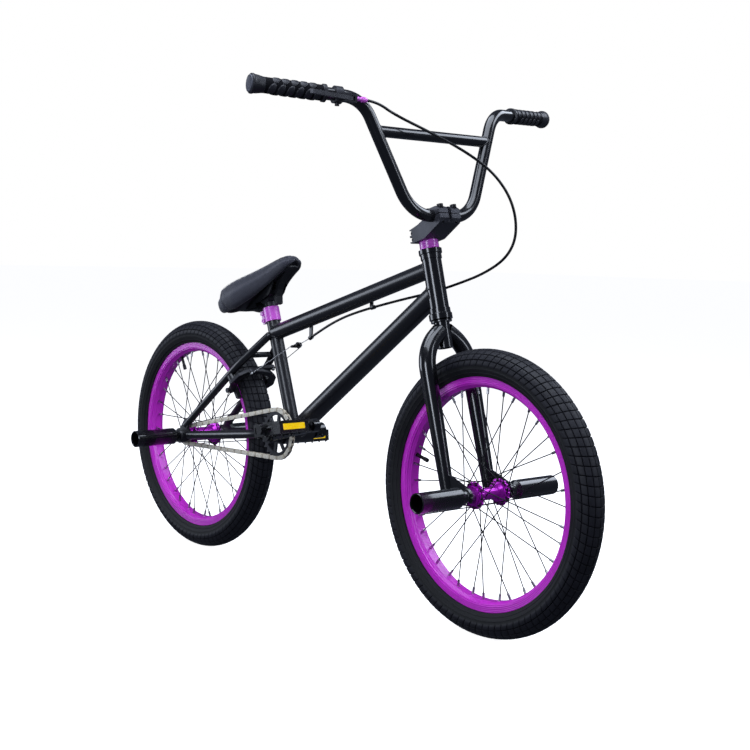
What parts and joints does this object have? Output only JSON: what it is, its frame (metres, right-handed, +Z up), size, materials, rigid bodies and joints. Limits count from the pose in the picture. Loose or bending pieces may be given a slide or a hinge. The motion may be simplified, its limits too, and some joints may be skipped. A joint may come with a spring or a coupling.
{
  "type": "bmx bike",
  "caption": "Black freestyle BMX bike with purple anodised rims, hubs and seat clamp, pegs on both axles, a rear U-brake and a padded pivotal saddle.",
  "frame": {"origin": "on the ground, midway between the two wheel axles, in the middle plane of the frame", "axes": "+X forward, +Y to the rider's left, +Z up"},
  "size_m": [1.422, 0.7398, 0.9716],
  "materials": {
    "frame_paint": "satin",
    "black_gloss": "gloss",
    "black_anodised": "satin",
    "purple_anodised": "satin",
    "bright_steel": "satin",
    "black_steel": "satin",
    "chain_nickel": "satin",
    "tyre_rubber": "matt",
    "grip_rubber": "matt",
    "brake_rubber": "matt",
    "pedal_plastic": "matt",
    "saddle_plastic": "matt",
    "saddle_cloth": "matt",
    "cable_sheath": "gloss"
  },
  "bodies": {
    "frame": {"head_tube": "frame_paint", "headset_cups": "black_anodised", "top_tube": "frame_paint", "down_tube": "frame_paint", "seat_tube": "frame_paint", "bb_shell": "frame_paint", "bb_bearings": "bright_steel", "chain_stays": "frame_paint", "seat_stays": "frame_paint", "stay_bridges": "frame_paint", "rear_dropouts": "frame_paint", "braze_ons": "frame_paint", "seat_clamp": "purple_anodised", "chain": "chain_nickel", "rear_axle": "bright_steel", "rear_axle_nuts": "black_steel", "rear_pegs": "black_steel", "inner_cable": "bright_steel", "brake_cable": "cable_sheath"},
    "steering": {"fork_steerer": "black_gloss", "fork_legs": "black_gloss", "headset_spacers": "purple_anodised", "stem_body": "black_anodised", "stem_cap": "black_anodised", "stem_bolts": "black_steel", "handlebar": "black_gloss", "crossbar": "black_gloss", "grips": "grip_rubber", "lever_bracket": "black_anodised", "barrel_adjuster": "purple_anodised", "front_axle": "bright_steel", "front_axle_nuts": "black_steel", "front_pegs": "black_steel"},
    "front_wheel": {"front_tyre": "tyre_rubber", "front_rim": "purple_anodised", "front_spokes": "black_steel", "front_nipples": "black_steel", "front_hub": "purple_anodised", "front_valve": "black_steel"},
    "rear_wheel": {"rear_tyre": "tyre_rubber", "rear_rim": "purple_anodised", "rear_spokes": "black_steel", "rear_nipples": "black_steel", "rear_hub": "purple_anodised", "rear_valve": "black_steel"},
    "driver": {"driver_cog": "bright_steel"},
    "crank": {"sprocket": "black_anodised", "crank_spindle": "black_steel", "crank_arms": "black_gloss", "crank_bolts": "black_steel", "pedal_axles": "black_steel"},
    "pedal_right_body": {"pedal_right": "pedal_plastic"},
    "pedal_left_body": {"pedal_left": "pedal_plastic"},
    "brake_lever": {"lever_blade": "black_anodised"},
    "arm_right": {"brake_arm_right": "black_anodised"},
    "arm_left": {"brake_arm_left": "black_anodised"},
    "yoke": {"brake_yoke": "black_steel"},
    "post": {"seat_post": "black_anodised"},
    "saddle": {"saddle_base": "saddle_plastic", "saddle_cover": "saddle_cloth"}
  },
  "joints": [
    {"name": "steer", "type": "hinge", "parent": "frame", "child": "steering", "pos_m": [0.3203, 0, 0.5688], "axis": [-0.2689, 0, 0.9632], "range_deg": [-75, 75], "deforming": ["brake_cable"]},
    {"name": "front_wheel_spin", "type": "hinge", "parent": "steering", "child": "front_wheel", "pos_m": [0.453, 0, 0.258], "axis": [0, 1, 0], "continuous": true},
    {"name": "rear_wheel_spin", "type": "hinge", "parent": "frame", "child": "rear_wheel", "pos_m": [-0.453, 0, 0.258], "axis": [0, 1, 0], "continuous": true},
    {"name": "crank_turn", "type": "hinge", "parent": "frame", "child": "crank", "pos_m": [-0.10802, 0, 0.3018], "axis": [0, 1, 0], "continuous": true, "deforming": ["chain"]},
    {"name": "driver_turn", "type": "hinge", "parent": "frame", "child": "driver", "pos_m": [-0.453, 0, 0.258], "axis": [0, 1, 0], "continuous": true, "deforming": ["chain"]},
    {"name": "pedal_right_spin", "type": "hinge", "parent": "crank", "child": "pedal_right_body", "pos_m": [0.06249, -0.163, 0.34117], "axis": [0, 1, 0], "continuous": true},
    {"name": "pedal_left_spin", "type": "hinge", "parent": "crank", "child": "pedal_left_body", "pos_m": [-0.27854, 0.163, 0.26243], "axis": [0, 1, 0], "continuous": true},
    {"name": "lever_squeeze", "type": "hinge", "parent": "steering", "child": "brake_lever", "pos_m": [0.29063, -0.20767, 0.94119], "axis": [-0.0125, -0.0465, -0.9988], "range_deg": [0, 18], "stiffness_Nm_per_rad": 0.8, "springref_deg": -11.46, "deforming": ["inner_cable"]},
    {"name": "arm_right_turn", "type": "hinge", "parent": "frame", "child": "arm_right", "pos_m": [-0.28073, -0.045, 0.4119], "axis": [0.6662, 0, -0.7457], "range_deg": [0, 3.2], "deforming": ["inner_cable"]},
    {"name": "arm_left_turn", "type": "hinge", "parent": "frame", "child": "arm_left", "pos_m": [-0.28073, 0.045, 0.4119], "axis": [-0.6662, 0, 0.7457], "range_deg": [0, 3.2], "deforming": ["inner_cable"]},
    {"name": "yoke_slide", "type": "slide", "parent": "frame", "child": "yoke", "axis": [0.8898, 0.1011, 0.4449], "range_m": [0, 0.0065], "deforming": ["inner_cable"]},
    {"name": "seat_height", "type": "slide", "parent": "frame", "child": "post", "axis": [-0.3346, 0, 0.9423], "range_m": [0, 0.06]},
    {"name": "saddle_tilt", "type": "hinge", "parent": "post", "child": "saddle", "pos_m": [-0.20708, 0, 0.58074], "axis": [0, 1, 0], "range_deg": [-10, 10]}
  ],
  "couplings": [
    {"joint": "driver_turn", "follows": "crank_turn", "ratio": 2.7778},
    {"joint": "arm_right_turn", "follows": "lever_squeeze", "ratio": 0.17778},
    {"joint": "arm_left_turn", "follows": "lever_squeeze", "ratio": 0.17778},
    {"joint": "yoke_slide", "follows": "lever_squeeze", "m_per_rad": 0.02068}
  ]
}
